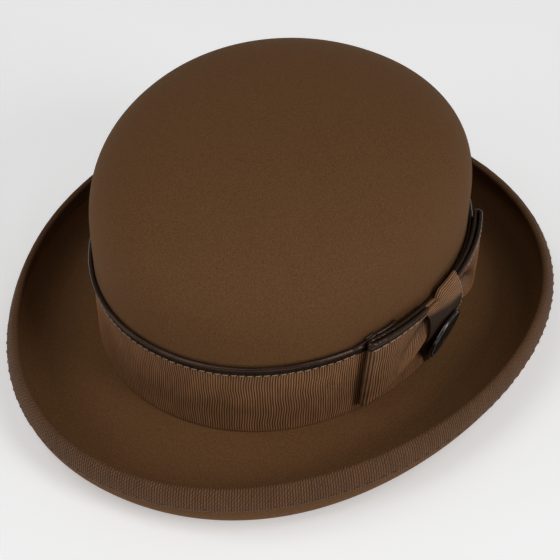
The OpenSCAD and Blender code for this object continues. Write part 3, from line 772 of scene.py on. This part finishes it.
def loop_pieces(end_y, label, stitched):
    put, long, span = loop_place(end_y)
    reach = abs(end_y)
    rows = np.concatenate([np.linspace(0, 1, 20), 1 + np.radians([35, 70, 105, 140, 165])])

    # Painted shade along the front layer's crease, a painted highlight on the fold, and the nose and back
    # layer at half tone
    def painted_light(u, w):
        s = 1 - (LOOP_START + u) / reach
        painted_crease_shade = smooth(0.36, 0.66, s) * np.exp(-((w - loop_crease(s)) / 0.13) ** 2)
        return np.where(u < long, 0.85 - 0.75 * painted_crease_shade + 0.75 * np.exp(-((w - 1.15) / 0.2) ** 2), 0.5)

    ribbon_piece = ribbon(Piece(), put, (0, span), rows, 0.5, depth=0.19, painted_light=painted_light, fold=True)
    made = ribbon_piece.make(f"bow_{label}_loop_ribbon", RIBBON, "ribbon", f"bow_{label}_loop")
    u = np.linspace(9, span - 9, 240)
    path = put(u[:, None], np.full((len(u), 1), 0.0), np.full((len(u), 1), 0.05))[:, 0]
    path[:, 2] += 0.62
    lump = 1 + ripple(u, (0.025, 1.1, 0.3), (0.02, 2.3, 1.1), (0.015, 4.1, 0.2))
    pipe = Piece().tube(path, 1.05 * lump, 14)
    half = u[u < span / 2 + 1.5][:, None]
    down = np.linspace(0, 0.085, 4)
    cut, w, e = np.broadcast_arrays(half, np.append(down, down[::-1]),
                                    [0.62, 0.62, 0.62, 0.48, 0.2, 0.2, 0.2, 0.2])
    pipe.grid(put(cut, w, e), (cut, w * 34), wrap=(False, True), caps=True)
    count = int((stitched[1] - stitched[0]) / STITCH_PITCH)
    sewn = Piece()
    for k in range(count):
        c = reach - (stitched[0] + k * STITCH_PITCH) - LOOP_START + rng.uniform(-0.12, 0.12)
        c = np.array([[c - 1.38], [c + 1.38], [c]])
        w = np.full((3, 1), 0.076 + rng.uniform(-0.002, 0.002))
        p = put(c, w, np.full((3, 1), 0.74))[:, 0]
        q = put(c, w, np.full((3, 1), 0.2))[2, 0]
        out = (p[2] - q) / np.linalg.norm(p[2] - q)
        sewn.stitch(p[0], p[1], out, 0.24, 0.2)
    return made, pipe, sewn


front_loop, front_pipe, sewn = loop_pieces(BOW_FRONT, "front", (3.0, 30))
rear_loop, rear_pipe, rear_sewn = loop_pieces(BOW_REAR, "rear", (3.4, 44))


def spline(points, count):
    """Catmull-Rom curve through the points."""
    p = np.asarray(points, float)
    p = np.vstack([2 * p[0] - p[1], p, 2 * p[-1] - p[-2]])
    s = np.linspace(0, len(p) - 3 - 1e-9, count)
    i = s.astype(int)
    f = (s - i)[:, None]
    a, b, c, d = p[i], p[i + 1], p[i + 2], p[i + 3]
    return 0.5 * (2 * b + (c - a) * f + (2 * a - 5 * b + 4 * c - d) * f ** 2
                  + (3 * b - a - 3 * c + d) * f ** 3)


# the band's end behind the front loop: its piping rises and turns back in two small folds
FOLDS = [[(-53.0, 42.0, 1.7), (-49.5, 43.3, 2.0), (-45.5, 44.9, 2.2), (-42.7, 45.7, 2.1),
          (-41.7, 45.8, 1.5), (-42.9, 45.4, 0.9), (-46.5, 44.6, 0.8)],
         [(-42, 44.9, 1.5), (-36.5, 45.6, 1.9), (-31.6, 46.2, 1.9), (-30.6, 46.2, 1.3), (-32, 45.9, 0.8)]]
for fold in FOLDS:
    line = spline(fold, 60)
    front_pipe.tube(bow(line[:, 0], line[:, 1], line[:, 2] + 0.2), 0.62, 12)
front_pipe.make("bow_front_piping_leather", PIPING, "piping", "bow_front_piping")
rear_pipe.make("bow_rear_piping_leather", PIPING, "piping", "bow_rear_piping")

face = spline([(0.9, 2.9), (3, 3.1), (8, 4.2), (BADGE_H, KNOT_PROUD - KNOT_LEAN - 0.15),
               (29.5, KNOT_PROUD - 0.3), (37.5, KNOT_PROUD - 0.3), (KNOT_H - 3, KNOT_PROUD - 3.2),
               (KNOT_H - 0.7, KNOT_PROUD - 5.4), (KNOT_H - 0.7, 3.0)], 400)
face_run = run_along(face)
face_way = np.gradient(face, axis=0)
face_way /= np.linalg.norm(face_way, axis=1)[:, None]


def on_knot(u, w, e):
    up = np.interp(u, face_run, face[:, 0])
    off = np.interp(u, face_run, face[:, 1])
    wu = np.interp(u, face_run, face_way[:, 0])
    wo = np.interp(u, face_run, face_way[:, 1])
    q = w / KNOT_HALF
    high = smooth(28, 46, up)
    edge = np.abs(q) ** 4
    pleat = 0.22 * np.sin(q * 6.1 + 0.5 + 0.04 * up) * smooth(4, 14, up) * (1 - 0.4 * high)
    dent = smooth(39, 46.5, up) * (2.6 * (1 - smooth(-4.5, -1.2, w)) + 1.2 * np.exp(-((w + 4.2) / 1.5) ** 2))
    thick = e - 0.5 + pleat - 0.5 * edge - 0.25 * q ** 2 - 1.6 * edge * (1 - smooth(16, 30, up))
    tuck = 0.5 * np.sin(up * 0.13) * edge * np.sign(w) - 0.55 * w * (1 - smooth(1, 27, up))
    return bow(w + tuck, up - thick * wo * 0.6 - dent, off + thick * wu)


rows = np.concatenate([-KNOT_HALF + np.array([0, 0.35, 0.9]), np.linspace(-12.6, 12.6, 19),
                       KNOT_HALF - np.array([0.9, 0.35, 0])])


def knot_painted_shade(u, w):
    """Painted shade: the ribbon is darker below the knot's turn, down to 0.06 of its tone, and keeps full
    tone over the top.
    """
    up = np.interp(u, face_run, face[:, 0])
    turn = 40.2 - 3.3 * w / KNOT_HALF
    return 0.06 + 1.0 * smooth(turn - 3, turn + 1, up)


knot = ribbon(Piece(), on_knot, (0, face_run[-1]), rows, 0.75, pitch=KNOT_RIB, depth=0.15, painted_light=knot_painted_shade)
knot = knot.make("bow_knot_ribbon", RIBBON, "ribbon", "bow_knot")

# running stitches down the knot's rear edge
for k in range(11):
    u = face_run[-1] - 4.6 - k * KNOT_PITCH + rng.uniform(-0.15, 0.15)
    uu, ww = np.array([[u - 1.1], [u + 1.1], [u]]), np.full((3, 1), KNOT_HALF - 1.1 + rng.uniform(-0.1, 0.1))
    p = on_knot(uu, ww, np.full((3, 1), 0.62))[:, 0]
    q = on_knot(uu, ww, np.full((3, 1), 0.1))[2, 0]
    sewn.stitch(p[0], p[1], (p[2] - q) / np.linalg.norm(p[2] - q), 0.22, 0.2)
sewn.join(rear_sewn)
sewn.make("bow_thread", THREAD, "thread", "bow_stitches")

# ---------------------------------------------------------------- badge
badge_at = bow(np.array(BADGE_Y), np.array(BADGE_H), np.array(KNOT_PROUD - KNOT_LEAN + 0.6))
badge_out = np.array([math.cos(BADGE_TILT), 0, -math.sin(BADGE_TILT)])
badge_down = np.array([-math.sin(BADGE_TILT), 0, -math.cos(BADGE_TILT)])
badge_side = np.array([0, 1.0, 0])


def lathe(piece, profile, count=96, poles=(None, None), at=(0, 0)):
    """Turned shape about the badge's axis from [radius, height] points."""
    profile = np.asarray(profile, float)
    a = (np.arange(count) / count * TAU)[:, None]
    r, h = profile[None, :, 0], profile[None, :, 1]
    x, y = at[0] + r * np.cos(a), at[1] + r * np.sin(a)
    p = badge_at + x[..., None] * badge_down + y[..., None] * badge_side + h[..., None] * badge_out
    foot = badge_at + at[0] * badge_down + at[1] * badge_side
    ends = [None if z is None else foot + z * badge_out for z in poles]
    return piece.grid(p, (r * a, h), wrap=(True, all(z is None for z in poles)), poles=ends)


R1 = BADGE_R - 1.32
top = [(R1 * math.sin(k), BADGE_T - 0.35 + 0.75 * math.cos(k)) for k in np.linspace(0.08, math.pi / 2, 14)]
under = [(R1, BADGE_T - 0.6), (R1, 0.15), (R1 - 0.15, 0), (R1 / 2, 0), (0.5, 0)]
disc = lathe(Piece(), top + under, poles=(BADGE_T + 0.4, 0.0))
disc.make("badge_enamel_disc", ENAMEL, "badge", "badge_disc", body="badge")
rim = Piece()
lathe(rim, [(BADGE_R - 1.24, 0.05), (BADGE_R - 0.15, 0.0), (BADGE_R, 0.2), (BADGE_R, 1.2),
            (BADGE_R - 0.12, 1.5), (BADGE_R - 0.4, 1.66), (BADGE_R - 0.9, 1.66), (BADGE_R - 1.15, 1.5),
            (BADGE_R - 1.26, 1.2)], 128)
beads = 72
for k in range(beads):
    a = TAU * k / beads
    rad = [(0.42 * math.sin(q), 1.62 + 0.36 * math.cos(q)) for q in np.radians([20, 45, 70, 95, 120])]
    lathe(rim, rad, 10, (1.98, 1.4), ((BADGE_R - 0.65) * math.cos(a), (BADGE_R - 0.65) * math.sin(a)))
rim.make("badge_beaded_rim", RIM, "badge", "badge_rim", body="badge")
for name in ("badge_post", "badge_clutch"):
    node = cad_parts[name]
    node.data.materials.clear()
    node.data.materials.append(NICKEL)

# ---------------------------------------------------------------- inside
SWEAT_IN = FELT_T + 0.25 + SATIN_T + 0.2
SWEAT_OUT = SWEAT_IN + LEATHER_T
n = 480
s = np.arange(n) / n * BAND_LONG
tt = band_t(s)[:, None]
x = s[:, None] * TAU / BAND_LONG
up = np.concatenate([[SWEAT_FOOT, SWEAT_FOOT + 0.1], np.linspace(0.2, SWEAT_H - 1.0, 18), [SWEAT_H - 0.25]])
outer = np.full(len(up), SWEAT_OUT)
outer[0] -= 0.35
outer[-1] -= 0.3
outer -= 0.12 * np.exp(-((up - 2.2) / 0.8) ** 2)
groove = -0.16 * np.exp(-((up - (SWEAT_H - 4)) / 0.35) ** 2)
ups = np.concatenate([up, [SWEAT_H], up[::-1]])
offs = np.concatenate([outer + groove, [SWEAT_IN + 0.5], np.full(len(up), SWEAT_IN)])
wave = ripple(x, (0.12, 7, 0.4), (0.10, 13, 1.0), (0.06, 29, 0.1)) * np.clip(ups[None] / SWEAT_H, 0, 1) ** 2
face_in = np.concatenate([np.ones(len(up) + 1), np.zeros(len(up))])[None]
leather = Piece().grid(crown(tt, -(offs[None] + (0.15 + wave) * face_in * (ups[None] > 3)), ups[None]),
                       (s[:, None], ups[None]), wrap=(True, True))
leather.make("sweatband_leather", SWEAT, "sweatband", "sweatband")

a = np.arange(12) / 12 * TAU
reed = Piece().grid(crown(tt, -(SWEAT_IN + LEATHER_T / 2) + (REED_R - 0.02) * np.cos(a)[None],
                          SWEAT_FOOT - REED_R - GAP + (REED_R - 0.02) * np.sin(a)[None]),
                    (s[:, None], a[None]), wrap=(True, True))
reed.make("sweatband_reed_tape", REED, "reed", "sweatband_reed")

stitches = Piece()
count = round(BAND_LONG / SWEAT_PITCH)
for k in range(count):
    sk = k * BAND_LONG / count
    ends = crown(band_t(np.array([sk - 1.3, sk + 1.3])), -(SWEAT_OUT + 0.12), np.array([2.05, 2.35]))
    nx, ny = outward(float(band_t(np.array([sk]))[0]))
    stitches.stitch(ends[0], ends[1], (-nx, -ny, 0), 0.22, 0.2)
stitches.make("sweatband_thread", DARK_THREAD, "binding_thread", "sweatband_stitches")

SATIN_IN = LINING_IN + SATIN_T
NL = 720
tl = np.arange(NL) / NL * TAU
ups = np.linspace(12, WALL_H - 4, 12)
angles = np.linspace(0, SEAM_ANGLE, 16)
pleat_x = ripple(tl, (1.0, 88, 0.3), (0.5, 61, 1.2), (0.35, 133, 2.0))


def lining_rings(inset):
    rings = [wall(tl, u, inset) for u in ups] + [dome(tl, a, inset) for a in angles]
    return np.stack(rings, 1)


depth = np.concatenate([np.linspace(0, 0.25, len(ups)), np.linspace(0.25, 1.0, len(angles))])[None]
shift = (0.32 * (1 + pleat_x / 1.85))[:, None] * depth
back_face = lining_rings(LINING_IN)
near = lining_rings(SATIN_IN)
normal = (near - back_face) / SATIN_T
front_face = near + normal * shift[..., None]
shell = np.concatenate([back_face, front_face[:, ::-1]], 1)
along = np.concatenate([np.arange(28.0) * 4, np.arange(28.0)[::-1] * 4])[None]
lining = Piece().grid(shell, (tl[:, None] * 85, along), wrap=(True, True))
lining = lining.make("lining_side_satin", SATIN, "lining", "lining_side")

NL = 240
tl = np.arange(NL) / NL * TAU


def tip_rings(inset):
    return np.stack([dome(tl, a, inset) for a in angles], 1)


angles = np.linspace(SEAM_ANGLE + math.radians(1.5), math.radians(88.4), 22)
shell = np.concatenate([tip_rings(LINING_IN)[:, ::-1], tip_rings(SATIN_IN)], 1)
tip = Piece().grid(shell, (tl[:, None] * 40, np.arange(44)[None] * 3.0), wrap=(True, False),
                   poles=(apex(LINING_IN), apex(SATIN_IN)))
tip_obj = tip.make("lining_tip_satin", SATIN, "lining", "lining_tip")

path = dome(np.linspace(0, TAU, 721)[:-1], SEAM_ANGLE + math.radians(0.7), SATIN_IN + 0.75)
middle = np.array([0, CENTRE_Y, 0])
radial = path - middle
radial[:, 2] = 0
radial /= np.linalg.norm(radial, axis=1)[:, None]
a = np.arange(8) / 8 * TAU
rr = 0.53 * (1 + 0.08 * np.cos(2 * a[None] - np.arange(720)[:, None] * TAU / 4))
cord = (path[:, None] + radial[:, None] * (rr * np.cos(a))[..., None]
        + np.array([0, 0, 1.0]) * (rr * np.sin(a))[..., None])
Piece().grid(cord, (np.arange(720)[:, None] * 0.7, a[None]), wrap=(True, True)).make(
    "lining_seam_cord", SATIN, "lining", "lining_cord")

angles = np.linspace(SEAM_ANGLE + math.radians(6), math.radians(88.4), 18)
shell = np.concatenate([tip_rings(SATIN_IN + 0.3)[:, ::-1], tip_rings(SATIN_IN + 0.55)], 1)
film = Piece().grid(shell, (tl[:, None] * 40, np.arange(36)[None] * 3.0), wrap=(True, False),
                    poles=(apex(SATIN_IN + 0.3), apex(SATIN_IN + 0.55)))
film.make("tip_film", FILM, "shield", "tip_shield")

SMALL_BOW_UP, WING, TAB_UP = 36, 9.4, 14


def at_back(x, off, up):
    """Point inside the back of the hat: sideways, off the leather towards the head, and up."""
    t = band_t(BAND_LONG / 4 + x)
    return crown(t, -(SWEAT_OUT + 0.25) - off, up)


small = Piece()
for side in (-1, 1):
    def wing(u, w, e, side=side):
        s = u / WING
        lift = 0.75 * np.sin(np.pi * np.clip(s, 0, 1)) ** 0.7
        off = 0.45 + lift + e + 0.15 * np.cos(w * 1.3) * (1 - s)
        return at_back(side * (0.6 + u), off, SMALL_BOW_UP + w * (0.32 + 0.68 * s ** 0.8))
    ribbon(small, wing, (0, WING), np.linspace(-3.4, 3.4, 9), 0.35, 0.8, 0.08)
ribbon(small, lambda u, w, e: at_back(w, 1.15 + e + 0.3 * np.cos(u), SMALL_BOW_UP + u), (-1.6, 1.6),
       np.linspace(-1.4, 1.4, 6), 0.4, 0.8, 0.08)
small_bow = small.make("sweatband_bow_ribbon", BINDING, "binding", "sweatband_bow")

tab = Piece()
gx, gz = np.meshgrid(np.linspace(-6, 6, 15), np.linspace(-7, 7, 15), indexing="ij")
puff = 0.12 * np.cos(gx / 6 * 1.4) * np.cos(gz / 7 * 1.4)
front_side = at_back(gx, 0.28 + puff, TAB_UP + gz)
back_side = at_back(gx, 0.03, TAB_UP + gz)
tab.grid(np.concatenate([front_side, back_side[:, ::-1]], 1),
         (np.concatenate([gx, gx], 1), np.concatenate([gz, gz[:, ::-1]], 1)), wrap=(False, True), caps=True)
tab_obj = tab.make("blank_size_tab", TAB, "tab", "size_tab")

# ---------------------------------------------------------------- stage and light
floor_mesh = bpy.data.meshes.new("floor")
corners = [(math.cos(k / 64 * TAU) * 6, math.sin(k / 64 * TAU) * 6, -0.0006) for k in range(64)]
floor_mesh.from_pydata(corners, [], [list(range(64))])
floor = bpy.data.objects.new("floor", floor_mesh)
bpy.context.scene.collection.objects.link(floor)
ground = Look("floor_white", 0.9, Emission_Color=(1, 1, 1, 1), Emission_Strength=0.34)
ground.color(ground.mix(ground.noise(3, 2), (0.83, 0.83, 0.83), (0.85, 0.85, 0.85)))
floor_mesh.materials.append(ground.material)

LOOK_AT = Vector((0, 0, 60)) * MM
LIGHT_FAR, LIGHT_SIZE, SKY = 2.2, 0.9, 0.147
# azimuth and elevation in degrees, power in watts
LIGHTS = {"left_low": (-20, 30, 4.8), "left_mid": (-20, 50, 2.6), "left_high": (-20, 70, 3.1),
          "side_low": (-60, 30, 2.6), "side_high": (-60, 60, 3.0),
          "right_low": (80, 30, 13.7), "right_high": (80, 60, 5.3), "rear": (140, 40, 1.2)}


def softbox(name, azimuth, elevation, power):
    data = bpy.data.lights.new(name, "AREA")
    data.shape, data.size, data.energy = "DISK", LIGHT_SIZE, power
    light = bpy.data.objects.new(name, data)
    way = direction(math.radians(azimuth), math.radians(elevation))
    light.location = LOOK_AT + way * LIGHT_FAR
    light.rotation_euler = (-way).to_track_quat("-Z", "Y").to_euler()
    bpy.context.scene.collection.objects.link(light)


for name, settings in LIGHTS.items():
    softbox(name, *settings)
world = bpy.data.worlds.new("studio")
world.use_nodes = True
world.node_tree.nodes["Background"].inputs["Color"].default_value = (1, 1, 1, 1)
world.node_tree.nodes["Background"].inputs["Strength"].default_value = SKY
bpy.context.scene.world = world
bpy.context.scene.view_settings.view_transform = "Standard"
